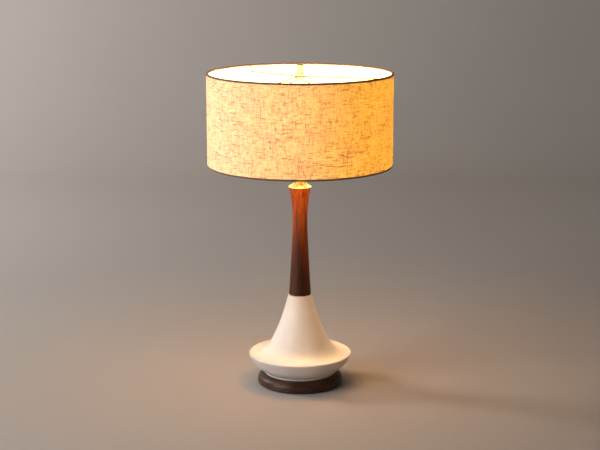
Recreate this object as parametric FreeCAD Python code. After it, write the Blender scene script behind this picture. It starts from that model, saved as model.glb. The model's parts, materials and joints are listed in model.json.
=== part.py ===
"""A turned wood and ceramic table lamp with a linen drum shade. Units are millimetres, +Z is up.

The origin is the middle of the lamp's foot, on the surface it stands on. The lamp's front faces -Y, its
cord leaves the base towards +Y, and the harp's two legs stand at -X and +X. Each function makes one group
of pieces, from the foot upwards, and each piece becomes parts/NODE.step.
"""
import FreeCAD
import Part

import math
import os

V = FreeCAD.Vector
AXIS = V(0, 0, 1)
ORIGIN = V(0, 0, 0)

# ---- driving dimensions --------------------------------------------------------------------------------

# threaded pipe that draws the whole stack together, and the holes it passes through
PIPE_R = 5.0
PIPE_BORE_R = 3.3
PIPE_HOLE_R = 5.4
GAP = 0.3                     # between pieces that move past each other
RUNNING_FIT = 0.08            # on the radius, between a shaft and the hole it turns or slides in

# wooden base disc, its felt and its cord bushing
FELT_T = 2.0
FELT_R = 88.0
BASE_R = 95.0
BASE_TOP = 25.5
BASE_TOP_ROUND = 15.0
BASE_FOOT_ROUND = 4.0
RECESS_R = 31.0
RECESS_TOP = 14.0
CORD_Z = 9.5
BUSH_BORE_R = 3.5
BUSH_R = 5.0
BUSH_FLANGE_R = 7.0
BUSH_FLANGE_T = 2.5
BUSH_LENGTH = 17.0

# ceramic body: a cone that sweeps out into a shallow dish above a bowl-shaped underside
GASKET_T = 0.9
FOOT_R = 80.0
FOOT_H = 2.8
WALL = 5.5
RIM_R = 114.2
RIM_Z = 70.0
RIM_ROUND = 2.0
DISH_R = 101.5                # where the dish is lowest
CONE_FOOT = (68.7, 89.0)      # where the cone's curve passes into the dish's
CONE_TOP = (26.3, 204.5)
CONE_TOP_LEAN = 12.7          # degrees off the vertical at the top of the cone
BODY_HOLE_R = 8.0

# waisted wooden neck
NECK_FOOT = (24.5, 205.4)
NECK_BELLY = (17.5, 330.0)
NECK_WAIST = (16.4, 377.0)
NECK_TOP = (23.8, 447.0)
NECK_EDGE = 0.8

# brass cap on the neck
CAP_R = 25.5
CAP_CROWN_R = 10.0
CAP_CROWN_FOOT = 458.9        # where the cone meets the short upright crown
CAP_SHEET = 0.9
CAP_BEAD_R = 1.0
CAP_TOP = 460.5

# harp, its saddle and its locking sleeves
HARP_WIRE_R = 1.6
HARP_LEG_X = 29.0
HARP_WIDE_X = 58.0
SADDLE_T = 1.6
SADDLE_W = 12.0
SADDLE_BEND = 8.0
PRONG_FOOT = 470.0
PRONG_TOP = 479.0
SLEEVE_R = 3.4
SLEEVE_LENGTH = 17.0
BOW_TOP = 682.0               # centre of the wire's flat top
SEAT_LIP_TOP = 685.6
SEAT_TOP = 689.5
SEAT_LIP_R = 9.3
SEAT_R = 8.2
STUD_R = 3.1
STUD_TOP = 707.0

# screw socket with a turn switch
LOCKNUT_T = 3.0
SOCKET_R = 17.0
SOCKET_SHEET = 0.6
SOCKET_TOP = 520.0
SOCKET_CAP_TOP = 477.0
SHAFT_Z = 482.0
SHAFT_R = 1.7
KNOB_R = 6.5
KNOB_FROM = 28.0
KNOB_TO = 40.0

# screw bulb
BULB_TIP = 490.0
BULB_TOP = 599.5
BULB_R = 30.0
BULB_NECK_R = 13.0
BULB_LEAN = 38.0              # degrees below the globe's middle where the neck's curve begins
GLASS_T = 0.9
THREAD_R = 13.1
THREAD_DEPTH = 0.7
THREAD_PITCH = 3.63
THREAD_TURNS = 5
THREAD_Z = 496.0

# drum shade and the spider that carries it
SHADE_R = 203.2
SHADE_BOTTOM = 496.0
SHADE_TOP = 700.0
CLOTH_T = 0.8
LINER_T = 0.8
RING_WIRE_R = 1.6
HUB_R = 12.0
HUB_T = 1.8
ARM_WIRE_R = 1.2
ARM_ANGLES = (4.0, 124.0, 244.0)
ARM_DROOP_Z = 683.5           # height of the arms' outer bend
ARM_BEND = 6.0

# finial
FINIAL_R = 7.8
FINIAL_TOP = 716.5
FINIAL_FLANGE_R = 10.5
FINIAL_FLANGE_T = 6.0

# ---- worked out from the above -------------------------------------------------------------------------

FOOT_Z = BASE_TOP + GASKET_T
SHOULDER_T = 7.0
SHOULDER_Z = CONE_TOP[1] - SHOULDER_T
LOCKNUT_Z = CAP_TOP + SADDLE_T
SOCKET_Z = LOCKNUT_Z + LOCKNUT_T
LINER_R = SHADE_R - CLOTH_T               # outside of the stiff liner
RING_R = LINER_R - LINER_T - RING_WIRE_R  # centre line of the wire rings
RING_INSET = CLOTH_T + RING_WIRE_R        # from the shade's edge to a ring's centre
HUB_Z = SEAT_TOP + GAP
FINIAL_Z = HUB_Z + HUB_T + GAP

saved = []


# ---- helpers -------------------------------------------------------------------------------------------

def save(name, *solids):
    """Writes one node, made of one or more closed solids, to parts/NAME.step."""
    shape = solids[0] if len(solids) == 1 else Part.makeCompound(list(solids))
    for solid in shape.Solids:
        if not solid.isValid() or solid.Volume <= 0:
            raise ValueError(f"{name} isn't a valid solid")
    shape.exportStep(f"parts/{name}.step")
    saved.append(name)


def tangent_arc(start, heading, end):
    """The arc that leaves start along heading, in degrees from +R towards +Z, and ends at end.

    Returns its middle point and the heading at its end."""
    chord = math.degrees(math.atan2(end[1] - start[1], end[0] - start[0]))
    half_turn = chord - heading
    length = math.dist(start, end)
    rise = length / 2 * math.tan(math.radians(half_turn / 2))
    across = math.radians(chord - 90)
    middle = ((start[0] + end[0]) / 2 + rise * math.cos(across),
              (start[1] + end[1]) / 2 + rise * math.sin(across))
    return middle, heading + 2 * half_turn


def arc_to_heading(start, heading, radius, target):
    """The arc of that radius from start that turns from heading to target. Returns its middle and its end."""
    side = 1 if target > heading else -1

    def at(angle):
        turned = math.radians(angle - side * 90)
        begun = math.radians(heading - side * 90)
        return (start[0] + radius * (math.cos(turned) - math.cos(begun)),
                start[1] + radius * (math.sin(turned) - math.sin(begun)))

    return at((heading + target) / 2), at(target)


def edges_of(start, steps):
    """Edges through steps of (r, z) for a line or (mid r, mid z, r, z) for an arc, in the XZ plane."""
    edges = []
    here = V(start[0], 0, start[1])
    for step in steps:
        there = V(step[-2], 0, step[-1])
        if len(step) == 2:
            edges.append(Part.makeLine(here, there))
        else:
            edges.append(Part.Arc(here, V(step[0], 0, step[1]), there).toShape())
        here = there
    return edges


def turned(start, *steps):
    """A solid of revolution about Z from a closed outline."""
    face = Part.Face(Part.Wire(edges_of(start, [*steps, start])))
    return face.revolve(ORIGIN, AXIS, 360)


def rod(radius, low, high, at=ORIGIN, along=AXIS):
    """A cylinder along an axis through at, from low to high."""
    along = V(along).normalize()
    return Part.makeCylinder(radius, high - low, at + along * low, along)


def tube(outer, inner, low, high):
    """A plain tube about Z."""
    return turned((inner, low), (outer, low), (outer, high), (inner, high))


def hexagon(across_flats, low, high, hole):
    """A hexagonal nut about Z."""
    reach = across_flats / math.sqrt(3)
    corners = [V(reach * math.cos(math.radians(60 * k)), reach * math.sin(math.radians(60 * k)), low)
               for k in range(7)]
    prism = Part.Face(Part.makePolygon(corners)).extrude(V(0, 0, high - low))
    return prism.cut(rod(hole, low - 1, high + 1))


def wire_along(points, radii, wire_radius):
    """A round wire along straight runs, with an arc at each inner corner."""
    edges = []
    here = points[0]
    for before, corner, after, radius in zip(points, points[1:], points[2:], radii):
        back = (before - corner).normalize()
        on = (after - corner).normalize()
        half = back.getAngle(on) / 2
        reach = radius / math.tan(half)
        towards = (back + on).normalize()
        middle = corner + towards * (radius / math.sin(half) - radius)
        first, last = corner + back * reach, corner + on * reach
        edges.append(Part.makeLine(here, first))
        edges.append(Part.Arc(first, middle, last).toShape())
        here = last
    edges.append(Part.makeLine(here, points[-1]))
    section = Part.Wire(Part.makeCircle(wire_radius, points[0], points[1] - points[0]))
    return Part.Wire(edges).makePipeShell([section], True, True)


def thread_rings(radius, low):
    """Outline steps up a row of rounded ridges, from the foot of the first to the foot of the last."""
    steps = []
    for k in range(THREAD_TURNS):
        foot = low + k * THREAD_PITCH
        half = THREAD_PITCH / 2
        steps.append((radius, foot + half / 2, radius - THREAD_DEPTH / 2, foot + half))
        steps.append((radius - THREAD_DEPTH, foot + 1.5 * half, radius - THREAD_DEPTH / 2, foot + 2 * half))
    return steps


def steps_back(steps, start):
    """The same run of steps, walked the other way, back to start."""
    ends = [start] + [step[-2:] for step in steps]
    return [(*step[:-2], *end) for step, end in zip(steps[::-1], ends[-2::-1])]


# ---- base ----------------------------------------------------------------------------------------------

def make_base():
    save("base_felt", rod(FELT_R, 0, FELT_T))

    foot = BASE_FOOT_ROUND
    brow = BASE_TOP_ROUND
    slant = math.sqrt(0.5)
    disc = turned(
        (PIPE_HOLE_R, BASE_TOP), (PIPE_HOLE_R, RECESS_TOP), (RECESS_R, RECESS_TOP), (RECESS_R, FELT_T),
        (BASE_R - foot, FELT_T),
        (BASE_R - foot + foot * slant, FELT_T + foot - foot * slant, BASE_R, FELT_T + foot),
        (BASE_R, BASE_TOP - brow),
        (BASE_R - brow + brow * slant, BASE_TOP - brow + brow * slant, BASE_R - brow, BASE_TOP),
    )
    rear = V(0, 1, 0)
    cord_axis = V(0, 0, CORD_Z)
    seat_y = BASE_R - BUSH_FLANGE_T + 0.5
    disc = disc.cut(rod(BUSH_R, RECESS_R - 4, BASE_R + 5, cord_axis, rear))
    disc = disc.cut(rod(BUSH_FLANGE_R, seat_y, BASE_R + 5, cord_axis, rear))
    save("base_disc", disc)

    flange = rod(BUSH_FLANGE_R, seat_y, seat_y + BUSH_FLANGE_T, cord_axis, rear)
    outer_rim = [edge for edge in flange.Edges if edge.BoundBox.YMin > seat_y + 1]
    flange = flange.makeFillet(0.9, outer_rim)
    barrel = rod(BUSH_R, seat_y + BUSH_FLANGE_T - BUSH_LENGTH, seat_y + 0.5, cord_axis, rear)
    bush = barrel.fuse(flange).removeSplitter()
    save("cord_bushing", bush.cut(rod(BUSH_BORE_R, 0, BASE_R + 5, cord_axis, rear)))


def make_bottom_fixings():
    washer_t, lock_t, nut_t = 1.6, 1.0, 4.8
    save("bottom_washer", tube(19.0, PIPE_HOLE_R, RECESS_TOP - washer_t, RECESS_TOP))
    lock_top = RECESS_TOP - washer_t
    save("bottom_lock_washer", toothed_washer(8.4, PIPE_HOLE_R, lock_top - lock_t, lock_top))
    nut_top = lock_top - lock_t
    save("bottom_nut", hexagon(14.3, nut_top - nut_t, nut_top, PIPE_R))


def toothed_washer(radius, hole, low, high):
    """A shakeproof washer with notches round its rim."""
    ring = tube(radius, hole, low, high)
    notches = 12
    for k in range(notches):
        angle = 2 * math.pi * k / notches
        place = V(radius * math.cos(angle), radius * math.sin(angle), 0)
        ring = ring.cut(rod(0.9, low - 1, high + 1, place))
    return ring


def make_pipe():
    low, high = 4.2, SOCKET_Z + 8.0
    pipe = turned((PIPE_BORE_R, low), (PIPE_R - 0.6, low), (PIPE_R, low + 0.6), (PIPE_R, high - 0.6),
                  (PIPE_R - 0.6, high), (PIPE_BORE_R, high))
    save("threaded_pipe", pipe)


# ---- ceramic body --------------------------------------------------------------------------------------

def make_ceramic():
    save("foot_gasket", tube(FOOT_R - 3.0, FOOT_R - 15.0, BASE_TOP, FOOT_Z))

    # outside, from the top edge down the cone, along the dish, over the rim and under to the foot
    down = CONE_TOP_LEAN - 90
    cone_mid, cone_end_heading = tangent_arc(CONE_TOP, down, CONE_FOOT)
    dish_radius = (DISH_R - CONE_FOOT[0]) / -math.sin(math.radians(cone_end_heading))
    dish_mid, dish = arc_to_heading(CONE_FOOT, cone_end_heading, dish_radius, 0)
    lip = (RIM_R - RIM_ROUND - 0.6, RIM_Z + RIM_ROUND)
    lip_mid, lip_heading = tangent_arc(dish, 0, lip)
    rim_low = (RIM_R - 0.3, RIM_Z - RIM_ROUND)
    rim_mid = (RIM_R, RIM_Z + 0.6)
    foot_top = FOOT_Z + FOOT_H
    bowl_end = (FOOT_R - 1.6, foot_top)
    bowl_bulge = 4.6
    bowl_mid = bulged(rim_low, bowl_end, bowl_bulge)
    ease = 0.8
    slant = ease * (1 - math.sqrt(0.5))

    # inside, a wall's thickness in: concentric with the cone's and the dish's curves
    inner_top = offset_point(CONE_TOP, down)
    inner_cone_mid = offset_point(cone_mid, (down + cone_end_heading) / 2)
    inner_cone_end = offset_point(CONE_FOOT, cone_end_heading)
    inner_dish_mid = offset_point(dish_mid, cone_end_heading / 2)
    inner_dish = (dish[0], dish[1] - WALL)
    nose = (RIM_R - 2 * WALL, RIM_Z - WALL - 3.0)
    inner_foot = (FOOT_R - 16.0, foot_top + 1.0)
    inner_bowl_mid = bulged(nose, inner_foot, bowl_bulge)
    shoulder = point_at_height(inner_top, inner_cone_mid, SHOULDER_Z)

    body = turned(
        (BODY_HOLE_R, CONE_TOP[1]), (CONE_TOP[0] - 1.0, CONE_TOP[1]),
        (CONE_TOP[0] - slant, CONE_TOP[1] - slant, CONE_TOP[0] + 0.2, CONE_TOP[1] - 1.0),
        (*cone_mid, *CONE_FOOT), (*dish_mid, *dish), (*lip_mid, *lip), (*rim_mid, *rim_low),
        (*bowl_mid, *bowl_end),
        (FOOT_R - ease, foot_top),
        (FOOT_R - slant, foot_top - slant, FOOT_R, foot_top - ease),
        (FOOT_R, FOOT_Z + ease),
        (FOOT_R - slant, FOOT_Z + slant, FOOT_R - ease, FOOT_Z),
        (inner_foot[0] - 2.0, FOOT_Z), (inner_foot[0] - 2.0, inner_foot[1]), inner_foot,
        (*inner_bowl_mid, *nose), inner_dish, (*inner_dish_mid, *inner_cone_end),
        (*inner_cone_mid, *shoulder), (BODY_HOLE_R, SHOULDER_Z),
    )
    save("ceramic_body", body)

    # a stepped ring centres the neck and the pipe in the body's rough hole
    flange_z = CONE_TOP[1]
    ring = turned(
        (PIPE_HOLE_R, flange_z - SHOULDER_T + 1), (BODY_HOLE_R - 0.3, flange_z - SHOULDER_T + 1),
        (BODY_HOLE_R - 0.3, flange_z), (21.0, flange_z), (21.0, NECK_FOOT[1]), (PIPE_HOLE_R, NECK_FOOT[1]),
    )
    save("neck_seating_ring", ring)


def bulged(start, end, bulge):
    """The middle of an arc from start to end that swells by bulge to the left of the way it runs."""
    swell = bulge / math.dist(start, end)
    return ((start[0] + end[0]) / 2 - (end[1] - start[1]) * swell,
            (start[1] + end[1]) / 2 + (end[0] - start[0]) * swell)


def offset_point(point, heading):
    """The point one wall inside an outline that runs downwards and outwards at that heading."""
    inwards = math.radians(heading - 90)
    return (point[0] + WALL * math.cos(inwards), point[1] + WALL * math.sin(inwards))


def point_at_height(high, low, z):
    """Where the straight line between two points crosses height z."""
    share = (high[1] - z) / (high[1] - low[1])
    return (high[0] + share * (low[0] - high[0]), z)


# ---- neck and its cap ----------------------------------------------------------------------------------

def make_neck():
    top_mid, _ = tangent_arc(NECK_WAIST, 90, NECK_TOP)
    waist_mid, down_heading = tangent_arc(NECK_WAIST, -90, NECK_BELLY)
    belly_mid, _ = tangent_arc(NECK_BELLY, down_heading, NECK_FOOT)
    foot_r, foot_z = NECK_FOOT
    top_r, top_z = NECK_TOP
    neck = turned(
        (PIPE_HOLE_R, foot_z), (foot_r - NECK_EDGE, foot_z), (foot_r, foot_z + NECK_EDGE),
        (*belly_mid, *NECK_BELLY), (*waist_mid, *NECK_WAIST), (*top_mid, top_r, top_z - NECK_EDGE),
        (top_r - NECK_EDGE, top_z), (PIPE_HOLE_R, top_z),
    )
    save("wood_neck", neck)


def make_neck_cap():
    """A brass cone with a beaded edge and a short upright crown. A ring under it stands on the neck."""
    top = NECK_TOP[1]
    bead_z = top + CAP_BEAD_R + 0.4
    skirt = (CAP_R - CAP_BEAD_R, bead_z + CAP_BEAD_R)
    crown_foot = (CAP_CROWN_R, CAP_CROWN_FOOT)
    steepness = (crown_foot[1] - skirt[1]) / (skirt[0] - crown_foot[0])
    drop = CAP_SHEET * math.sqrt(1 + steepness * steepness)
    ring_r, inner_r = NECK_TOP[0] - 3.4, CAP_CROWN_R - CAP_SHEET
    under_ring = CAP_CROWN_FOOT - (ring_r - CAP_CROWN_R) * steepness - drop
    under_crown = CAP_CROWN_FOOT - (inner_r - CAP_CROWN_R) * steepness - drop
    cap = turned(
        (PIPE_HOLE_R, CAP_TOP), (CAP_CROWN_R - 0.8, CAP_TOP), (CAP_CROWN_R, CAP_TOP - 0.8), crown_foot,
        on_slope(crown_foot, skirt, 0.98),
        (CAP_R, bead_z, CAP_R - CAP_BEAD_R, bead_z - CAP_BEAD_R), (NECK_TOP[0] - 2.0, top + 0.4),
        (NECK_TOP[0] - 2.0, top), (ring_r, top), (ring_r, under_ring),
        (inner_r, under_crown), (inner_r, CAP_TOP - CAP_SHEET),
        (PIPE_HOLE_R, CAP_TOP - CAP_SHEET),
    )
    save("neck_cap", cap)


def on_slope(start, end, share):
    return (start[0] + share * (end[0] - start[0]), start[1] + share * (end[1] - start[1]))


# ---- harp ----------------------------------------------------------------------------------------------

def make_harp():
    # saddle: a strip bent up at both ends, with a round prong on each
    inner, outer = HARP_LEG_X - SADDLE_T / 2, HARP_LEG_X + SADDLE_T / 2
    low, bend = CAP_TOP, SADDLE_BEND
    slant = 1 - math.sqrt(0.5)
    tight = bend - SADDLE_T
    outline = edges_of((0, low), [
        (outer - bend, low), (outer - bend * slant, low + bend * slant, outer, low + bend),
        (outer, PRONG_FOOT), (inner, PRONG_FOOT), (inner, low + bend),
        (inner - tight * slant, low + SADDLE_T + tight * slant, inner - tight, low + SADDLE_T),
        (0, low + SADDLE_T), (0, low)])
    half = Part.Face(Part.Wire(outline)).extrude(V(0, SADDLE_W, 0))
    half.translate(V(0, -SADDLE_W / 2, 0))
    strip = half.fuse(half.mirror(ORIGIN, V(1, 0, 0))).removeSplitter()
    strip = strip.cut(rod(PIPE_HOLE_R, low - 1, low + 5))
    prongs = [rod(HARP_WIRE_R, PRONG_FOOT - 2, PRONG_TOP, V(side * HARP_LEG_X, 0, 0)) for side in (-1, 1)]
    save("harp_saddle", strip.fuse(prongs).removeSplitter())

    # harp: one bow of wire, up from the prongs, out round the bulb and in to the seat
    right = [V(HARP_LEG_X, 0, PRONG_TOP), V(HARP_LEG_X, 0, PRONG_TOP + 32), V(HARP_WIDE_X, 0, PRONG_TOP + 88),
             V(HARP_WIDE_X, 0, BOW_TOP - 42), V(14, 0, BOW_TOP)]
    left = [V(-point.x, 0, point.z) for point in right]
    bends = [40, 80, 70, 25]
    bow = wire_along(left + right[::-1], bends + bends[::-1], HARP_WIRE_R)
    save("harp_bow", bow)

    for name, side in (("left", -1), ("right", 1)):
        low, bore, edge = PRONG_FOOT + GAP, HARP_WIRE_R + RUNNING_FIT, 0.5
        high = low + SLEEVE_LENGTH
        sleeve = turned((bore, low), (SLEEVE_R - edge, low), (SLEEVE_R, low + edge), (SLEEVE_R, high - edge),
                        (SLEEVE_R - edge, high), (bore, high))
        sleeve.translate(V(side * HARP_LEG_X, 0, 0))
        save(f"harp_sleeve_{name}", sleeve)

    # seat: a lipped brass disc let into the bow's flat top, with the stud that the finial screws on
    edge = 0.6
    seat = turned((0, BOW_TOP), (SEAT_LIP_R - edge, BOW_TOP), (SEAT_LIP_R, BOW_TOP + edge),
                  (SEAT_LIP_R, SEAT_LIP_TOP), (SEAT_R, SEAT_LIP_TOP), (SEAT_R, SEAT_TOP), (STUD_R, SEAT_TOP),
                  (STUD_R, STUD_TOP - edge), (STUD_R - edge, STUD_TOP), (0, STUD_TOP))
    save("harp_seat_stud", seat.cut(bow))


# ---- socket --------------------------------------------------------------------------------------------

def make_socket():
    front = V(0, -1, 0)
    shaft_axis = V(0, 0, SHAFT_Z)
    sheet = SOCKET_SHEET
    save("saddle_locknut", hexagon(14.3, LOCKNUT_Z, SOCKET_Z, PIPE_R))

    hub_r, hub_top, cup_r = 8.0, SOCKET_Z + 5.4, SOCKET_R + sheet + GAP
    cup_mid, _ = tangent_arc((hub_r, hub_top), 0, (cup_r, SOCKET_CAP_TOP - 4.0))
    lift = 0.8
    cap = turned(
        (PIPE_R, SOCKET_Z), (hub_r, SOCKET_Z), (hub_r, hub_top), (*cup_mid, cup_r, SOCKET_CAP_TOP - 4.0),
        (cup_r, SOCKET_CAP_TOP), (cup_r - sheet, SOCKET_CAP_TOP), (cup_r - sheet, SOCKET_CAP_TOP - 3.6),
        (cup_mid[0] - lift, cup_mid[1] + lift, hub_r, hub_top + 1.2), (PIPE_R, hub_top + 1.2),
    )
    screw_z = SOCKET_Z + 3.0
    cap = cap.cut(rod(1.5, PIPE_R - 1, hub_r + 1, V(0, 0, screw_z), V(0, 1, 0)))
    save("socket_cap", cap)
    screw = rod(1.5, PIPE_R + 0.1, hub_r + 1.6, V(0, 0, screw_z), V(0, 1, 0))
    slot = Part.makeBox(4, 1.0, 0.6, V(-2, hub_r + 1.0, screw_z - 0.3))
    save("socket_set_screw", screw.cut(slot))

    shell_low = SOCKET_CAP_TOP - 3.0
    shell = turned(
        (SOCKET_R - sheet, shell_low), (SOCKET_R, shell_low), (SOCKET_R, SOCKET_TOP - 1.2),
        (SOCKET_R + 0.1, SOCKET_TOP - 0.2, SOCKET_R - 1.0, SOCKET_TOP),
        (SOCKET_R - 1.5, SOCKET_TOP - 0.9, SOCKET_R - sheet, SOCKET_TOP - 1.8),
    )
    save("socket_shell", shell.cut(rod(3.2, 10, 20, shaft_axis, front)))
    sleeve = tube(SOCKET_R - sheet - 0.1, SOCKET_R - sheet - 0.9, shell_low + 0.5, SOCKET_TOP - 3.0)
    save("socket_insulator", sleeve.cut(rod(3.2, 10, 20, shaft_axis, front)))

    body_r = SOCKET_R - sheet - 1.1
    body_low, body_top = SOCKET_CAP_TOP - 2.0, 488.5
    body = rod(body_r, body_low, body_top)
    cam_r, cam_from, cam_to = 4.2, 3.0, 9.0
    body = body.cut(rod(cam_r + 0.3, cam_from - 0.4, cam_to + 0.4, shaft_axis, front))
    body = body.cut(rod(SHAFT_R + RUNNING_FIT, cam_to, 20, shaft_axis, front))
    screw_axis = V(0, 0, body_low + 3.5)
    for name, side in (("hot", -1), ("neutral", 1)):
        outwards = V(side, 0, 0)
        shank = rod(1.4, body_r - 8.0, body_r - 3.4, screw_axis, outwards)
        head = rod(2.6, body_r - 3.4, body_r - 1.6, screw_axis, outwards)
        save(f"terminal_screw_{name}", shank.fuse(head).removeSplitter())
        body = body.cut(Part.makeBox(4.0, 7.0, 8.0, V(side * (body_r - 1.5) - 2.0, -3.5, body_low - 1.0)))
        body = body.cut(shank)
    save("switch_housing", body)

    cam = rod(cam_r, cam_from, cam_to, shaft_axis, front)
    cam = cam.cut(Part.makeBox(20, 8, 4, V(-10, -cam_to + 1, SHAFT_Z + 2.8)))
    cam = cam.cut(Part.makeBox(20, 8, 4, V(-10, -cam_to + 1, SHAFT_Z - 6.8)))
    save("switch_cam", cam)
    save("switch_shaft", rod(SHAFT_R, cam_to, KNOB_TO - 3.0, shaft_axis, front))
    save("switch_knob", make_knob(shaft_axis, front))

    # screw shell: a thin cup with rounded rings, and the springy tab at its bottom
    skin = 0.35
    inner, outer = THREAD_R + GAP, THREAD_R + GAP + skin
    low = THREAD_Z
    inner_steps = thread_rings(inner, low)
    outer_steps = thread_rings(outer, low)
    inner_foot, outer_foot = inner - THREAD_DEPTH / 2, outer - THREAD_DEPTH / 2
    high = SOCKET_TOP - 2.4
    cup = turned(
        (inner_foot, low), *inner_steps, (inner_foot, high), (outer_foot, high),
        outer_steps[-1][-2:], *steps_back(outer_steps, (outer_foot, low)), (outer_foot, body_top),
        (8.0, body_top), (8.0, body_top + skin), (inner_foot, body_top + skin),
    )
    save("screw_shell", cup)
    tab = Part.makeBox(12.0, 4.0, 0.4, V(-3.0, -2.0, body_top))
    leaf = Part.makeBox(7.0, 4.0, 0.4, V(-3.0, -2.0, body_top + 0.8))
    fold = Part.makeBox(0.4, 4.0, 1.2, V(-3.0, -2.0, body_top))
    tab = tab.common(rod(7.6, body_top - 1, body_top + 1))
    save("centre_contact", tab.fuse([leaf, fold]).removeSplitter())


def make_knob(axis_point, direction):
    """A fluted turn knob."""
    knob = rod(KNOB_R, KNOB_FROM, KNOB_TO, axis_point, direction)
    ends = [e for e in knob.Edges if abs(e.Length - 2 * math.pi * KNOB_R) < 0.1]
    knob = knob.makeFillet(1.0, ends)
    flutes = 14
    for k in range(flutes):
        angle = 2 * math.pi * k / flutes
        place = axis_point + V((KNOB_R + 0.5) * math.cos(angle), 0, (KNOB_R + 0.5) * math.sin(angle))
        knob = knob.cut(rod(0.9, KNOB_FROM - 1, KNOB_TO - 2.2, place, direction))
    return knob.cut(rod(SHAFT_R, KNOB_FROM - 1, KNOB_TO - 3.0, axis_point, direction))


# ---- bulb ----------------------------------------------------------------------------------------------

def make_bulb():
    centre_z = BULB_TOP - BULB_R
    lean = math.radians(BULB_LEAN)
    meet = (BULB_R * math.cos(lean), centre_z - BULB_R * math.sin(lean))
    # the neck's curve leaves the vertical and meets the globe along its own slope
    rise = (meet[0] - BULB_NECK_R) / math.tan(lean / 2)
    neck = (BULB_NECK_R, meet[1] - rise)
    neck_mid, _ = tangent_arc(neck, 90, meet)
    equator = math.radians(28.0)
    globe_mid = (BULB_R * math.cos(equator), centre_z + BULB_R * math.sin(equator))
    inner_r = BULB_R - GLASS_T
    inner_meet = (inner_r * math.cos(lean), centre_z - inner_r * math.sin(lean))
    inner_mid = (inner_r * math.cos(equator), centre_z + inner_r * math.sin(equator))
    half_lean = lean / 2
    inward, upward = GLASS_T * math.cos(half_lean), GLASS_T * math.sin(half_lean)
    inner_neck_mid = (neck_mid[0] - inward, neck_mid[1] + upward)
    glass_low = neck[1] - 1.5
    glass = turned(
        (BULB_NECK_R - GLASS_T, glass_low), (BULB_NECK_R, glass_low), neck, (*neck_mid, *meet),
        (*globe_mid, 0, BULB_TOP), (0, BULB_TOP - GLASS_T), (*inner_mid, *inner_meet),
        (*inner_neck_mid, BULB_NECK_R - GLASS_T, neck[1]),
    )
    save("bulb_glass", glass)

    foot = THREAD_R - THREAD_DEPTH / 2
    skin = 0.35
    lip = (foot - skin - 1.5, THREAD_Z - 1.6)
    outer_steps = thread_rings(THREAD_R, THREAD_Z)
    inner_steps = thread_rings(THREAD_R - skin, THREAD_Z)
    cap = turned(
        (foot, THREAD_Z), *outer_steps, (foot, glass_low), (foot - skin, glass_low), inner_steps[-1][-2:],
        *steps_back(inner_steps, (foot - skin, THREAD_Z)), lip,
        (foot - skin - 0.9, THREAD_Z - 1.9),
    )
    save("bulb_screw_cap", cap)
    tip_top = BULB_TIP + 1.4
    rim = on_slope((foot - skin, THREAD_Z), lip, 1 / 15)
    save("bulb_insulator", turned((0, tip_top), (4.4, tip_top), lip, rim, (0, rim[1])))
    save("bulb_contact", turned((0, BULB_TIP), (2.6, BULB_TIP + 0.2), (4.2, tip_top), (0, tip_top)))

    stem_r, stem_top = BULB_NECK_R - GLASS_T, centre_z - 12.0
    stem = turned((0, glass_low), (stem_r, glass_low), (stem_r, glass_low + 1.2),
                  (6.0, glass_low + 6.0, 3.0, glass_low + 14.0), (2.2, stem_top), (0, stem_top))
    save("bulb_stem", stem)
    lead_r, lamp_z, reach = 0.35, centre_z + 4.0, 15.0
    leads = []
    for side in (-1, 1):
        low_end, high_end = V(side * 1.3, 0, stem_top), V(side * reach, 0, lamp_z)
        leads.append(wire_along([low_end, low_end + V(0, 0, 3.0), high_end], [1.5], lead_r))
    filament = wire_along(filament_points(reach, lamp_z), [0.5] * 8, lead_r)
    save("bulb_leads", *leads)
    save("bulb_filament", filament.cut(Part.makeCompound(leads)))


def filament_points(reach, height):
    """A zigzag between the two lead wires' ends."""
    runs = 9
    sides = [0, *(1 if k % 2 else -1 for k in range(1, runs)), 0]
    return [V(reach * (2 * k / runs - 1), side, height) for k, side in enumerate(sides)]


# ---- shade ---------------------------------------------------------------------------------------------

def make_shade():
    """Linen laminated to a stiff liner and rolled over a wire ring at each edge."""
    save("shade_ring_top", ring_at(SHADE_TOP, -1))
    save("shade_ring_bottom", ring_at(SHADE_BOTTOM, 1))
    save("shade_liner", tube(LINER_R, LINER_R - LINER_T, SHADE_BOTTOM + CLOTH_T, SHADE_TOP - CLOTH_T))
    linen = turned((SHADE_R, SHADE_BOTTOM + 1.0), *rolled_edges())
    for angle in ARM_ANGLES:
        slit = rod(ARM_WIRE_R + 0.2, SHADE_TOP - 8, SHADE_TOP - RING_INSET, outwards(angle) * RING_R)
        linen = linen.cut(slit.cut(ring_at(SHADE_TOP, -1)))
    save("shade_linen", linen)


def ring_at(edge, inwards):
    """One of the shade's two wire rings; inwards is +1 at the bottom edge and -1 at the top edge."""
    return Part.makeTorus(RING_R, RING_WIRE_R, V(0, 0, edge + inwards * RING_INSET), AXIS)


def outwards(angle):
    """The level direction at that angle, in degrees from +X towards +Y."""
    return V(math.cos(math.radians(angle)), math.sin(math.radians(angle)), 0)


def rolled_edges():
    """The linen's outline: up its outside, round the top ring, down its inside and round the bottom ring."""
    bend = 1.0
    slant = bend * (1 - math.sqrt(0.5))
    wrap = RING_WIRE_R + CLOTH_T

    def over(edge, inwards):
        """From the outer wall round a ring to the tucked end, and back along the cloth's inner side."""
        ring_z = edge + inwards * RING_INSET
        return [
            (SHADE_R, edge + inwards * bend),
            (SHADE_R - slant, edge + inwards * slant, SHADE_R - bend, edge),
            (RING_R, edge),
            (RING_R - wrap, ring_z, RING_R, ring_z + inwards * wrap),
            (RING_R, ring_z + inwards * RING_WIRE_R),
            (RING_R - RING_WIRE_R, ring_z, RING_R, ring_z - inwards * RING_WIRE_R),
            (LINER_R, edge + inwards * CLOTH_T),
        ]

    top = over(SHADE_TOP, -1)
    bottom = over(SHADE_BOTTOM, 1)
    return top + [bottom[-1]] + steps_back(bottom[1:], bottom[0])[:-1]


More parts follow.
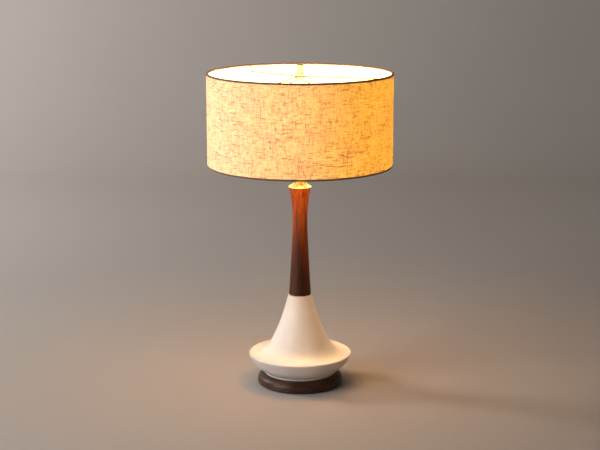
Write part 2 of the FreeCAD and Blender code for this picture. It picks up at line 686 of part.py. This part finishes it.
def make_spider():
    """A hub on the harp's seat, and three wires that droop to the liner and turn up to the top ring."""
    save("spider_hub", tube(HUB_R, STUD_R + RUNNING_FIT, HUB_Z, HUB_Z + HUB_T))
    hub_mid = HUB_Z + HUB_T / 2
    ring_z = SHADE_TOP - RING_INSET
    welded = [ring_at(SHADE_TOP, -1), rod(HUB_R, HUB_Z - 5, HUB_Z + 5)]
    for number, angle in enumerate(ARM_ANGLES, 1):
        out = outwards(angle)
        points = [out * (HUB_R - 1) + V(0, 0, hub_mid), out * RING_R + V(0, 0, ARM_DROOP_Z),
                  out * RING_R + V(0, 0, ring_z)]
        save(f"spider_arm_{number}", wire_along(points, [ARM_BEND], ARM_WIRE_R).cut(welded))


def make_finial():
    """A plain brass barrel on a wider, grooved foot, bored to screw on the harp's stud."""
    low, flange_top = FINIAL_Z, FINIAL_Z + FINIAL_FLANGE_T
    edge, groove = 1.0, 0.7
    bore, bore_top = STUD_R + RUNNING_FIT, STUD_TOP + 2.5
    finial = turned(
        (bore, low), (FINIAL_FLANGE_R - 0.6, low), (FINIAL_FLANGE_R, low + 0.6),
        (FINIAL_FLANGE_R, low + 2.4), (FINIAL_FLANGE_R - groove, low + 2.8, FINIAL_FLANGE_R, low + 3.2),
        (FINIAL_FLANGE_R, flange_top - 1.2),
        (FINIAL_FLANGE_R - 0.4, flange_top - 0.4, FINIAL_FLANGE_R - 1.2, flange_top),
        (FINIAL_R, flange_top), (FINIAL_R, FINIAL_TOP - edge),
        (FINIAL_R - 0.3, FINIAL_TOP - 0.3, FINIAL_R - edge, FINIAL_TOP), (0, FINIAL_TOP),
        (0, bore_top), (bore, bore_top - 1.5),
    )
    save("finial", finial)


def main():
    os.makedirs("parts", exist_ok=True)
    make_base()
    make_bottom_fixings()
    make_pipe()
    make_ceramic()
    make_neck()
    make_neck_cap()
    make_harp()
    make_socket()
    make_bulb()
    make_shade()
    make_spider()
    make_finial()
    print(len(saved), "nodes:", " ".join(saved))


main()
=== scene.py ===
"""The looks of a turned wood and ceramic table lamp with a linen drum shade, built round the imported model.

Everything is in metres, in the CAD model's frame: the foot stands on z = 0 and the camera looks along +Y.
The bulb is lit. Its light reaches the room through the linen, which is why the linen and the liner behind it
are thin sheets here.
"""
import json
import math
import random

import bpy
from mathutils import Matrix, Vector


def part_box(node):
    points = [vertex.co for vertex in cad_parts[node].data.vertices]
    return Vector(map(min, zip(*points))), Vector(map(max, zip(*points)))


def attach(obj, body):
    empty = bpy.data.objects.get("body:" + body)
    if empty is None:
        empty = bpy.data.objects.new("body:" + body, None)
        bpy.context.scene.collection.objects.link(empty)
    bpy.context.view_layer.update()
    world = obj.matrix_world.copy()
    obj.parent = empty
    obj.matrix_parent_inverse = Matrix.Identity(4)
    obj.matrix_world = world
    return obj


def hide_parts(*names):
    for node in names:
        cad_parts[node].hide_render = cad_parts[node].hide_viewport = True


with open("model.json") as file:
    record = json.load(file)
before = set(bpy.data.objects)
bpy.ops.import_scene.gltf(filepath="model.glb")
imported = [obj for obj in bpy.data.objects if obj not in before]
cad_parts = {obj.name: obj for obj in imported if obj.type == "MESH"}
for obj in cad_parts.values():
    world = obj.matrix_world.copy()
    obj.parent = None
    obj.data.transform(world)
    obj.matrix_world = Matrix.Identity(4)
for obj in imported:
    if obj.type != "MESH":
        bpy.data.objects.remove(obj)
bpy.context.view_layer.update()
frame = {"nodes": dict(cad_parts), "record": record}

# ---- light and colour --------------------------------------------------------------------------------------

BULB_COLOUR = (1.0, 0.55, 0.22)       # a warm bulb, seen by a camera balanced for daylight
BULB_WATTS = 20.0
BULB_WATTS_ON_LAMP = 300.0            # more light for the lamp alone, kept off the pale floor
BULB_COLOUR_ON_LAMP = (1.0, 0.63, 0.33)
BULB_WATTS_ON_SHADE = 100.0
BULB_CLEARANCE = 0.001                # from the glass to the light outside it
BULB_GLASS_STRENGTH = 30.0
LINER_PAINTED_GLOW = 5.0                      # painted glow standing in for the bulb's light through the liner, seen from either side
LINER_LETS_THROUGH = 0.20

# ---- the linen ---------------------------------------------------------------------------------------------

LINEN_THROUGH = (1.0, 0.78, 0.03)     # the cloth's colour with the light behind it
LINEN_THROUGH_DARK = (0.35, 0.155, 0.005)
LINEN_FRONT = (0.84, 0.78, 0.70)      # and with the light on it
LINEN_FRONT_DARK = tuple(c * k for c, k in zip(LINEN_FRONT, (0.50, 0.38, 0.26)))
LINEN_LETS_THROUGH = 0.165
HEM_LETS_THROUGH = 0.005              # the turned-over edges are double, with a wire inside
# painted shade: the dark colour of the turned-over edges, which are the same linen as the rest
HEM_PAINTED_SHADE = (0.22, 0.13, 0.075)
HEM_HEIGHT = 0.0046
HEM_EDGE = 0.0003
FLECK_THROUGH = (0.20, 0.085, 0.025)
FLECK_FRONT = (0.24, 0.17, 0.11)
WEAVE_PITCH = 0.0011
HALF_SHEET = 0.0004                   # from a sheet's middle to either face, as the CAD model has them
LAPPED_TURNS = 1.008                  # once round the shade, and 10 mm more
SHADE_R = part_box("shade_linen")[1].x


# ---- node graphs -------------------------------------------------------------------------------------------

class Graph:
    """A new material and its node tree."""

    def __init__(self, name):
        self.material = bpy.data.materials.new(name)
        self.material.use_nodes = True
        self.tree = self.material.node_tree
        self.tree.nodes.clear()

    def add(self, kind, inputs=None, **settings):
        """A node of that kind. inputs maps a socket's name or number to a value or to another socket."""
        node = self.tree.nodes.new("ShaderNode" + kind)
        for key, value in settings.items():
            setattr(node, key, value)
        for key, value in (inputs or {}).items():
            if isinstance(value, bpy.types.NodeSocket):
                self.tree.links.new(value, node.inputs[key])
            else:
                node.inputs[key].default_value = value
        return node

    def math(self, operation, a, b=0.0, clamp=False):
        return self.add("Math", {0: a, 1: b}, operation=operation, use_clamp=clamp).outputs[0]

    def place(self):
        """The point being shaded, in the lamp's frame."""
        return self.add("TexCoord").outputs["Object"]

    def split(self, vector):
        return self.add("SeparateXYZ", {0: vector}).outputs

    def stretched(self, scale):
        return self.add("Mapping", {"Vector": self.place(), "Scale": scale}).outputs[0]

    def noise(self, vector, scale=1.0, detail=3.0, rough=0.55, distortion=0.0):
        inputs = {"Vector": vector, "Scale": scale, "Detail": detail, "Roughness": rough,
                  "Distortion": distortion}
        return self.add("TexNoise", inputs).outputs["Fac"]

    def span(self, value, low, high, to_low=0.0, to_high=1.0):
        """value, eased from the range low to high into the range to_low to to_high."""
        inputs = {"Value": value, "From Min": low, "From Max": high, "To Min": to_low, "To Max": to_high}
        return self.add("MapRange", inputs, interpolation_type="SMOOTHSTEP").outputs["Result"]

    def blend(self, share, a, b, kind="MIX"):
        """A mix of two colours."""
        node = self.add("Mix", {0: share}, data_type="RGBA", blend_type=kind)
        for socket, value in ((node.inputs[6], a), (node.inputs[7], b)):
            if isinstance(value, bpy.types.NodeSocket):
                self.tree.links.new(value, socket)
            else:
                socket.default_value = (*value, 1.0)
        return node.outputs[2]

    def bump(self, height, distance, strength=1.0, under=None):
        inputs = {"Height": height, "Distance": distance, "Strength": strength}
        if under is not None:
            inputs["Normal"] = under
        return self.add("Bump", inputs).outputs["Normal"]

    def principled(self, inputs):
        return self.add("BsdfPrincipled", inputs).outputs["BSDF"]

    def finish(self, shader):
        self.add("OutputMaterial", {"Surface": shader})
        return self.material


def rgba(colour):
    return (*colour, 1.0)


# ---- materials ---------------------------------------------------------------------------------------------

def wood(name, pale, dark, along, roughness, coat, painted_shade_range=None):
    """Oiled walnut with its grain along "x" or "z". Over the height range given last, painted shade darkens
    the wood downwards, so its top stands for the bulb's light falling on it.
    """
    g = Graph(name)

    def grain(length, width, detail=3.0, rough=0.55, bend=0.0):
        scale = tuple(1.0 / (length if axis == along else width) for axis in "xyz")
        return g.noise(g.stretched(scale), 1.0, detail, rough, bend)

    figure = grain(0.16, 0.014, 4.0, 0.6, 0.8)
    streaks = grain(0.09, 0.0032, 3.0, 0.6, 0.3)
    fibres = grain(0.030, 0.0009, 2.0)
    pores = g.span(grain(0.011, 0.0007, 1.0), 0.62, 0.74)
    tone = g.math("ADD", g.math("MULTIPLY", figure, 0.45), g.math("MULTIPLY", streaks, 0.40))
    tone = g.math("ADD", tone, g.math("MULTIPLY", fibres, 0.15))
    colour = g.blend(g.span(tone, 0.40, 0.60), pale, dark)
    vein = g.math("MULTIPLY", g.span(streaks, 0.56, 0.70), 0.6)
    colour = g.blend(vein, colour, tuple(0.4 * c for c in dark))
    colour = g.blend(g.math("MULTIPLY", pores, 0.6), colour, tuple(0.3 * c for c in dark))
    # painted shade: the colour darkens down the range, so the top looks lit by the bulb and the foot looks
    # shaded
    if painted_shade_range:
        painted_light_share = g.span(g.split(g.place())[2], *painted_shade_range)
        colour = g.blend(painted_light_share, g.blend(1.0, colour, NECK_PAINTED_SHADE, "MULTIPLY"), colour)
    gloss = g.math("ADD", g.math("MULTIPLY", streaks, 0.16), roughness - 0.08)
    gloss = g.math("ADD", gloss, g.math("MULTIPLY", pores, 0.12))
    normal = g.bump(pores, -0.00008, 0.5)
    normal = g.bump(fibres, 0.00003, 0.4, normal)
    return g.finish(g.principled({"Base Color": colour, "Roughness": gloss, "Normal": normal,
                                  "Coat Weight": coat, "Coat Roughness": 0.35, "Specular IOR Level": 0.28}))


def glaze(name):
    """A satin off-white glaze: faint clouds, fine iron specks, and the soft ripple of the clay under it."""
    g = Graph(name)
    place = g.place()
    clouds = g.noise(place, 14.0, 4.0, 0.55, 0.4)
    specks = g.add("TexVoronoi", {"Vector": place, "Scale": 420.0, "Randomness": 1.0}).outputs["Distance"]
    sparse = g.span(g.noise(place, 95.0, 2.0), 0.60, 0.70)
    speck = g.math("MULTIPLY", g.span(specks, 0.16, 0.05), sparse)
    colour = g.blend(g.span(clouds, 0.35, 0.68), (0.70, 0.655, 0.60), (0.755, 0.715, 0.665))
    colour = g.blend(g.math("MULTIPLY", speck, 0.5), colour, (0.45, 0.34, 0.22))
    ripple = g.noise(place, 55.0, 2.0, 0.5)
    skin = g.noise(place, 900.0, 3.0, 0.6)
    roughness = g.span(g.noise(place, 40.0, 3.0), 0.3, 0.7, 0.34, 0.46)
    normal = g.bump(ripple, 0.0004, 0.12)
    normal = g.bump(skin, 0.00004, 0.35, normal)
    return g.finish(g.principled({"Base Color": colour, "Roughness": roughness, "Normal": normal,
                                  "Specular IOR Level": 0.45, "Coat Weight": 0.15, "Coat Roughness": 0.3}))


def round_the_axis(g):
    """The shaded point unrolled from the shade's drum: (metres round from the front, height)."""
    x, y, z = g.split(g.place())[:3]
    turn = g.math("ARCTAN2", x, g.math("MULTIPLY", y, -1.0))
    return g.math("MULTIPLY", turn, SHADE_R), z


def linen(name):
    """Slubbed linen. Thick yarns let less light through, so with the lamp lit they are the dark ones."""
    g = Graph(name)
    round_, height = round_the_axis(g)
    low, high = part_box("shade_linen")

    def yarns(along, across, pitch, length, seed):
        """How thick each yarn is along its own length: one row of noise for each yarn."""
        row = g.math("MULTIPLY", g.math("FLOOR", g.math("MULTIPLY", across, 1.0 / pitch)), 3.7)
        vector = g.add("CombineXYZ", {0: g.math("MULTIPLY", along, 1.0 / length), 1: row, 2: seed}).outputs[0]
        return g.noise(vector, 1.0, 2.0, 0.6)

    # the weft runs round the drum and the warp up it
    weft = g.span(yarns(round_, height, 0.0017, 0.016, 3.7), 0.42, 0.63)
    warp = g.span(yarns(height, round_, 0.0017, 0.018, 9.1), 0.42, 0.63)
    weft_slub = g.span(yarns(round_, height, 0.0020, 0.028, 17.3), 0.575, 0.66)
    warp_slub = g.span(yarns(height, round_, 0.0020, 0.028, 27.9), 0.60, 0.68)
    flecks = g.span(yarns(round_, height, 0.0022, 0.0050, 41.2), 0.72, 0.77)
    waves = [g.math("SINE", g.math("MULTIPLY", way, 2 * math.pi / WEAVE_PITCH)) for way in (round_, height)]
    weave = g.math("MULTIPLY", *waves)
    thick = g.math("ADD", g.math("MULTIPLY", weft, 0.5), g.math("MULTIPLY", warp, 0.5))
    slub = g.math("MAXIMUM", weft_slub, g.math("MULTIPLY", warp_slub, 0.8))
    dense = g.math("ADD", g.math("MULTIPLY", thick, 0.65), g.math("MULTIPLY", slub, 0.50), clamp=True)
    dense = g.math("ADD", dense, g.math("MULTIPLY", weave, 0.07), clamp=True)
    cloud = g.span(g.noise(g.place(), 17.0, 3.0, 0.5), 0.32, 0.68)

    through = g.blend(dense, LINEN_THROUGH, LINEN_THROUGH_DARK)
    through = g.blend(g.math("MULTIPLY", cloud, 0.18), through, LINEN_THROUGH_DARK)
    through = g.blend(g.math("MULTIPLY", flecks, 0.8), through, FLECK_THROUGH)
    front = g.blend(dense, LINEN_FRONT, LINEN_FRONT_DARK)
    front = g.blend(g.math("MULTIPLY", flecks, 0.7), front, FLECK_FRONT)
    hem_low, hem_high = low.z + HEM_HEIGHT, high.z - HEM_HEIGHT
    above = g.span(height, hem_low - HEM_EDGE, hem_low + HEM_EDGE)
    below = g.span(height, hem_high + HEM_EDGE, hem_high - HEM_EDGE)
    single = g.math("MULTIPLY", above, below)
    # painted shade on the turned-over edges
    front = g.blend(single, HEM_PAINTED_SHADE, front)
    relief = g.math("ADD", g.math("MULTIPLY", weave, 0.25), g.math("ADD", thick, slub))
    normal = g.bump(relief, 0.00022, 0.55)
    face = g.principled({"Base Color": front, "Roughness": 0.92, "Normal": normal, "Specular IOR Level": 0.2,
                         "Sheen Weight": 0.2, "Sheen Roughness": 0.6})
    glow = g.add("BsdfTranslucent", {"Color": through}).outputs[0]
    share = g.math("ADD", g.math("MULTIPLY", single, LINEN_LETS_THROUGH), HEM_LETS_THROUGH)
    return g.finish(g.add("MixShader", {0: share, 1: face, 2: glow}).outputs[0])


def liner(name):
    """Matt white styrene that spreads the bulb's light. Its emission is painted glow, standing in for the
    bulb's light through it, and backlights the linen evenly.
    """
    g = Graph(name)
    mottle = g.noise(g.place(), 60.0, 3.0)
    colour = g.blend(g.span(mottle, 0.3, 0.7), (0.86, 0.84, 0.80), (0.90, 0.885, 0.85))
    normal = g.bump(g.noise(g.place(), 700.0, 2.0), 0.00003, 0.4)
    # painted glow: emission in the bulb's colour on the liner
    face = g.principled({"Base Color": colour, "Roughness": 0.6, "Normal": normal, "Specular IOR Level": 0.3,
                         "Emission Color": rgba(BULB_COLOUR), "Emission Strength": LINER_PAINTED_GLOW})
    glow = g.add("BsdfTranslucent", {"Color": rgba((0.93, 0.91, 0.86))}).outputs[0]
    return g.finish(g.add("MixShader", {0: LINER_LETS_THROUGH, 1: face, 2: glow}).outputs[0])


def metal(name, colour, worn, roughness, lathe=0.0):
    """A metal with faint clouds of handling and, where lathe is above 0, the rings of a turning tool."""
    g = Graph(name)
    place = g.place()
    clouds = g.noise(place, 60.0, 4.0, 0.6)
    base = g.blend(g.span(clouds, 0.4, 0.75), colour, worn)
    rough = g.span(g.noise(place, 240.0, 3.0), 0.3, 0.7, roughness * 0.8, roughness * 1.35)
    normal = g.bump(g.noise(place, 1500.0, 2.0), 0.00001, 0.5)
    if lathe:
        x, y, z = g.split(place)[:3]
        radius = g.math("SQRT", g.math("ADD", g.math("MULTIPLY", x, x), g.math("MULTIPLY", y, y)))
        rings = g.add("CombineXYZ", {0: g.math("MULTIPLY", g.math("ADD", z, radius), 2600.0)}).outputs[0]
        normal = g.bump(g.noise(rings, 1.0, 1.0), 0.00001, lathe, normal)
    return g.finish(g.principled({"Base Color": base, "Metallic": 1.0, "Roughness": rough, "Normal": normal}))


def moulded(name, colour, roughness, grain=0.00002):
    """Rubber, plastic, phenolic or card: one tone with a fine grain and slightly uneven gloss."""
    g = Graph(name)
    place = g.place()
    mottle = g.noise(place, 130.0, 4.0, 0.6)
    base = g.blend(g.span(mottle, 0.3, 0.7), tuple(0.82 * c for c in colour), tuple(1.12 * c for c in colour))
    rough = g.span(g.noise(place, 320.0, 2.0), 0.3, 0.7, roughness * 0.85, min(1.0, roughness * 1.15))
    normal = g.bump(g.noise(place, 1400.0, 3.0), grain, 0.6)
    return g.finish(g.principled({"Base Color": base, "Roughness": rough, "Normal": normal}))


def felt(name):
    """Pressed wool: a dark mat of short fibres."""
    g = Graph(name)
    place = g.place()
    fibres = g.noise(g.stretched((1500.0, 1500.0, 300.0)), 1.0, 4.0, 0.7, 2.5)
    flock = g.noise(place, 120.0, 3.0)
    colour = g.blend(g.span(fibres, 0.3, 0.7), (0.018, 0.014, 0.011), (0.075, 0.06, 0.048))
    colour = g.blend(g.math("MULTIPLY", g.span(flock, 0.4, 0.7), 0.4), colour, (0.03, 0.022, 0.018))
    normal = g.bump(fibres, 0.0003, 0.8)
    return g.finish(g.principled({"Base Color": colour, "Roughness": 1.0, "Normal": normal,
                                  "Sheen Weight": 0.5, "Sheen Roughness": 0.5}))


def lit_bulb(name):
    """Inside-frosted glass, lit from within."""
    g = Graph(name)
    frost = g.noise(g.place(), 500.0, 3.0)
    colour = g.blend(g.span(frost, 0.3, 0.7), (0.84, 0.83, 0.80), (0.90, 0.89, 0.87))
    return g.finish(g.principled({"Base Color": colour, "Roughness": 0.35,
                                  "Emission Color": rgba(BULB_COLOUR),
                                  "Emission Strength": BULB_GLASS_STRENGTH}))


def clear_glass(name):
    g = Graph(name)
    wave = g.bump(g.noise(g.place(), 90.0, 2.0), 0.0002, 0.2)
    return g.finish(g.principled({"Base Color": rgba((0.96, 0.98, 0.97)), "Roughness": 0.03, "Normal": wave,
                                  "Transmission Weight": 1.0, "IOR": 1.5}))


BRASS, BRASS_WORN = (0.90, 0.75, 0.44), (0.78, 0.59, 0.30)
STEEL, STEEL_WORN = (0.62, 0.62, 0.60), (0.46, 0.45, 0.43)
NECK_LOW, NECK_HIGH = (corner.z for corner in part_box("wood_neck"))
NECK_PAINTED_SHADE = (0.20, 0.23, 0.22)       # multiplies the wood's colour where the painted shade is darkest, low on the neck

finishes = {
    "walnut": wood("walnut_base", (0.120, 0.044, 0.018), (0.040, 0.013, 0.005), "x", 0.42, 0.15),
    # painted shade on the neck, fading out from 5 cm above its foot up to its top
    "walnut_neck": wood("walnut_neck", (0.400, 0.085, 0.006), (0.175, 0.032, 0.003), "z", 0.50, 0.0,
                        (NECK_LOW + 0.05, NECK_HIGH)),
    "glaze": glaze("satin_glaze"),
    "felt": felt("wool_felt"),
    "rubber": moulded("rubber", (0.02, 0.018, 0.016), 0.7),
    "bushing_nylon": moulded("bushing_nylon", (0.035, 0.022, 0.014), 0.45),
    "zinc_steel": metal("zinc_steel", STEEL, STEEL_WORN, 0.34),
    "brass": metal("brass", BRASS, BRASS_WORN, 0.2),
    "turned_brass": metal("turned_brass", BRASS, BRASS_WORN, 0.30, 0.15),
    "card": moulded("fish_paper", (0.36, 0.25, 0.14), 0.85, 0.00006),
    "phenolic": moulded("phenolic", (0.03, 0.018, 0.012), 0.4),
    "knob_black": moulded("knob_black", (0.012, 0.012, 0.012), 0.22),
    "bulb_white": lit_bulb("lit_bulb"),
    "clear_glass": clear_glass("clear_glass"),
    "cap_aluminium": metal("cap_aluminium", (0.80, 0.80, 0.80), (0.62, 0.62, 0.63), 0.3),
    "black_glass": moulded("black_glass", (0.008, 0.008, 0.010), 0.1, 0.00001),
    "solder": metal("solder", (0.58, 0.58, 0.60), (0.40, 0.40, 0.42), 0.5),
    "tungsten": metal("tungsten", (0.30, 0.28, 0.27), (0.2, 0.19, 0.18), 0.5),
    "linen": linen("slubbed_linen"),
    "liner": liner("white_liner"),
    "shade_steel": metal("shade_wire", (0.085, 0.07, 0.045), (0.06, 0.047, 0.03), 0.45),
}
# the pieces whose finish isn't the one of their slot in the record
special = {"wood_neck": "walnut_neck", "finial": "turned_brass", "neck_cap": "turned_brass"}


def dress_cad_nodes():
    for part in frame["record"]["subparts"]:
        name = part["node"]
        mesh = frame["nodes"][name].data
        mesh.materials.clear()
        mesh.materials.append(finishes[special.get(name, part["material_slot"])])


# ---- pieces that stand for CAD nodes -----------------------------------------------------------------------

def new_piece(name, verts, faces, finish, body, replaced):
    mesh = bpy.data.meshes.new(name)
    mesh.from_pydata(verts, [], faces)
    mesh.validate()
    mesh.shade_smooth()
    mesh.materials.append(finishes[finish])
    piece = bpy.data.objects.new(name, mesh)
    bpy.context.scene.collection.objects.link(piece)
    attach(piece, body)
    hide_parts(*replaced)
    return piece


def rolled_sheet(profile, turns, segments, wobble=None):
    """Vertices and faces of a sheet rolled round Z from the back. With turns over 1 its end laps its start.

    profile is a list of (radius, height). wobble(angle, row) moves a vertex outwards by what it returns.
    """
    steps = round(segments * turns)
    verts, faces = [], []
    for i in range(steps + 1):
        angle = math.pi / 2 + 2 * math.pi * turns * i / steps
        over = max(0.0, (i / steps * turns - 1.0) / (turns - 1.0)) if turns > 1 else 0.0
        rise = HALF_SHEET * min(1.0, 3 * over)      # the lapping part climbs onto the outer face
        for row, (radius, z) in enumerate(profile):
            r = radius + rise + (wobble(angle, row) if wobble else 0.0)
            verts.append((r * math.cos(angle), r * math.sin(angle), z))
    rows = len(profile)
    for i in range(steps):
        for j in range(rows - 1):
            a = i * rows + j
            faces.append((a, a + rows, a + rows + 1, a + 1))
    return verts, faces


def make_linen():
    """One strip of linen, rolled over the ring at each edge and lapped at the back."""
    low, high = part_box("shade_linen")
    ring_low, ring_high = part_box("shade_ring_top")
    wire = (ring_high.z - ring_low.z) / 2
    middle = ring_high.x - wire
    wrap = wire + HALF_SHEET
    wall = high.x - HALF_SHEET
    inset = high.z - (ring_high.z - wire)
    corner = 0.0010                   # the radius between the edge and the wall
    corner_points, rows = 4, 40

    def tucked(edge, inwards):
        """The outline at one edge, from the tucked end round the ring's wire to the wall.

        inwards is 1 at the lower edge and -1 at the upper one.
        """
        points = []
        for k in range(11):
            # 0 degrees faces the other ring, 90 the shade's axis, and 180 away from the other ring
            turn = math.radians(-20 + 200 * k / 10)
            points.append((middle - wrap * math.sin(turn), edge + inwards * (inset + wrap * math.cos(turn))))
        for k in range(corner_points):
            turn = math.radians(90 * k / (corner_points - 1))
            rise = HALF_SHEET + corner - corner * math.cos(turn)
            points.append((wall - corner + corner * math.sin(turn), edge + inwards * rise))
        return points

    bottom = tucked(low.z, 1)
    top = tucked(high.z, -1)
    start, end = bottom[-1][1], top[-1][1]
    body = [(wall, start + (end - start) * k / rows) for k in range(1, rows)]
    profile = bottom + body + top[::-1]
    rng = random.Random(7)
    waves = [(rng.uniform(2, 26), rng.uniform(0, 2 * math.pi), rng.uniform(0.2, 1.0)) for _ in range(8)]

    def wobble(angle, row):
        if row < len(bottom) - corner_points or row >= len(profile) - len(top) + corner_points:
            return 0.0
        drift = 0.0
        for count, phase, size in waves:
            drift += size * math.sin(round(count) * angle + phase + row * 0.06)
        return 0.00002 * drift

    verts, faces = rolled_sheet(profile, LAPPED_TURNS, 360, wobble)
    cloth = new_piece("linen_drum", verts, faces, "linen", "shade", ["shade_linen"])


def make_liner():
    low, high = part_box("shade_liner")
    radius = high.x - HALF_SHEET
    rows = 12
    profile = [(radius, low.z + (high.z - low.z) * k / rows) for k in range(rows + 1)]
    verts, faces = rolled_sheet(profile, 1.0, 240)
    new_piece("liner_drum", verts, faces, "liner", "shade", ["shade_liner"])


def make_felt():
    """A pad of pressed felt whose cut edge isn't quite round and whose faces aren't quite flat."""
    low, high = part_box("base_felt")
    radius, thick = high.x, high.z - low.z
    rng = random.Random(3)
    waves = [(count, rng.uniform(0, 2 * math.pi)) for count in (5, 9, 14, 23)]
    segments, rings = 180, 16
    trim, ripple, softened = 0.0003, 0.00012, thick * 0.14
    verts, faces = [(0, 0, low.z), (0, 0, high.z)], []
    for side, z in enumerate((low.z, high.z)):
        for ring in range(1, rings + 1):
            share = ring / rings
            for i in range(segments):
                angle = 2 * math.pi * i / segments
                ragged = sum(math.sin(count * angle + phase) for count, phase in waves)
                r = radius * share - (trim + ripple * ragged) * share ** 8
                dip = ripple * (1 + math.sin(40 * share + 3 * angle)) if side == 0 and share < 0.97 else 0.0
                soft = softened if ring == rings else 0.0
                rise = dip + (soft if side == 0 else -soft)
                verts.append((r * math.cos(angle), r * math.sin(angle), z + rise))

    def at(side, ring, i):
        return 2 + (side * rings + ring - 1) * segments + i % segments

    for i in range(segments):
        faces.append((0, at(0, 1, i + 1), at(0, 1, i)))
        faces.append((1, at(1, 1, i), at(1, 1, i + 1)))
        for ring in range(1, rings):
            faces.append((at(0, ring, i), at(0, ring, i + 1), at(0, ring + 1, i + 1), at(0, ring + 1, i)))
            faces.append((at(1, ring, i), at(1, ring + 1, i), at(1, ring + 1, i + 1), at(1, ring, i + 1)))
        faces.append((at(0, rings, i), at(0, rings, i + 1), at(1, rings, i + 1), at(1, rings, i)))
    pad = new_piece("felt_pad", verts, faces, "felt", "lamp", ["base_felt"])


# ---- stage, lights and camera ------------------------------------------------------------------------------

def make_stage():
    """A pale floor that sweeps up into a backdrop."""
    g = Graph("stage")
    soft = g.noise(g.place(), 1.5, 2.0)
    colour = g.blend(soft, (0.57, 0.50, 0.44), (0.61, 0.54, 0.475))
    paint = g.finish(g.principled({"Base Color": colour, "Roughness": 0.9, "Specular IOR Level": 0.1}))
    half, front, wall, bend, tall = 7.0, -6.0, 3.7, 1.2, 5.0
    profile = [(front, 0.0), (0.0, 0.0), (wall - bend, 0.0)]
    for k in range(1, 17):
        turn = math.radians(90 * k / 16)
        profile.append((wall - bend + bend * math.sin(turn), bend - bend * math.cos(turn)))
    profile.append((wall, tall))
    verts = [(x, y, z) for y, z in profile for x in (-half, half)]
    faces = [(2 * k, 2 * k + 1, 2 * k + 3, 2 * k + 2) for k in range(len(profile) - 1)]
    mesh = bpy.data.meshes.new("stage")
    mesh.from_pydata(verts, [], faces)
    mesh.shade_smooth()
    mesh.materials.append(paint)
    sweep = bpy.data.objects.new("stage", mesh)
    bpy.context.scene.collection.objects.link(sweep)


def area_light(name, place, aim, size, power, colour):
    light = bpy.data.lights.new(name, "AREA")
    light.shape = "RECTANGLE"
    light.size, light.size_y = size
    light.energy = power
    light.color = colour
    lamp = bpy.data.objects.new(name, light)
    lamp.location = place
    bpy.context.scene.collection.objects.link(lamp)
    away = Vector(place) - Vector(aim)
    lamp.rotation_euler = away.to_track_quat("Z", "Y").to_euler()


def bulb_light(name, power, only_on=(), colour=BULB_COLOUR):
    """The bulb's light. It starts just outside the glass, so the glass doesn't shade it."""
    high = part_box("bulb_glass")[1]
    light = bpy.data.lights.new(name, "POINT")
    light.energy = power
    light.color = colour
    light.shadow_soft_size = high.x + BULB_CLEARANCE
    lamp = bpy.data.objects.new(name, light)
    lamp.location = (0, 0, high.z - high.x)
    bpy.context.scene.collection.objects.link(lamp)
    if only_on:
        lamp.light_linking.receiver_collection = bpy.data.collections.new(name)
        for piece in only_on:
            lamp.light_linking.receiver_collection.objects.link(piece)


def make_lights():
    area_light("window", (-2.2, -1.45, 1.0), (0, 0, 0.35), (1.6, 1.6), 41.0, (0.80, 0.90, 1.0))
    area_light("fill", (0.6, -3.2, 2.4), (0, 0, 0.3), (2.0, 1.4), 2.5, (1.0, 0.95, 0.9))
    area_light("backdrop", (-3.2, 1.2, 1.8), (0.0, 3.4, 0.7), (1.2, 1.2), 80.0, (0.95, 0.97, 1.0))
    shade = [bpy.data.objects[name] for name in ("linen_drum", "liner_drum")]
    unlit = ("linen_drum", "liner_drum", "stage", "spider", "harp_seat")
    others = [piece for piece in bpy.data.objects
              if piece.type == "MESH" and not piece.name.startswith(unlit)]
    bulb_light("bulb_light", BULB_WATTS)
    bulb_light("bulb_light_on_lamp", BULB_WATTS_ON_LAMP, others, BULB_COLOUR_ON_LAMP)
    bulb_light("bulb_light_on_shade", BULB_WATTS_ON_SHADE, shade)
    world = bpy.data.worlds.new("room")
    world.use_nodes = True
    background = world.node_tree.nodes["Background"]
    background.inputs["Color"].default_value = (1.0, 0.93, 0.86, 1.0)
    background.inputs["Strength"].default_value = 0.07
    bpy.context.scene.world = world


def make_camera():
    camera = bpy.data.cameras.new("camera")
    camera.sensor_width = 36.0
    camera.lens = 89.24
    eye = bpy.data.objects.new("camera", camera)
    eye.location = (0.0, -3.21375, 1.05283)
    eye.rotation_euler = (math.radians(77.87), 0.0, 0.0)
    bpy.context.scene.collection.objects.link(eye)
    bpy.context.scene.camera = eye


dress_cad_nodes()
make_linen()
make_liner()
make_felt()
make_stage()
make_lights()
make_camera()
bpy.context.scene.view_settings.view_transform = "Standard"
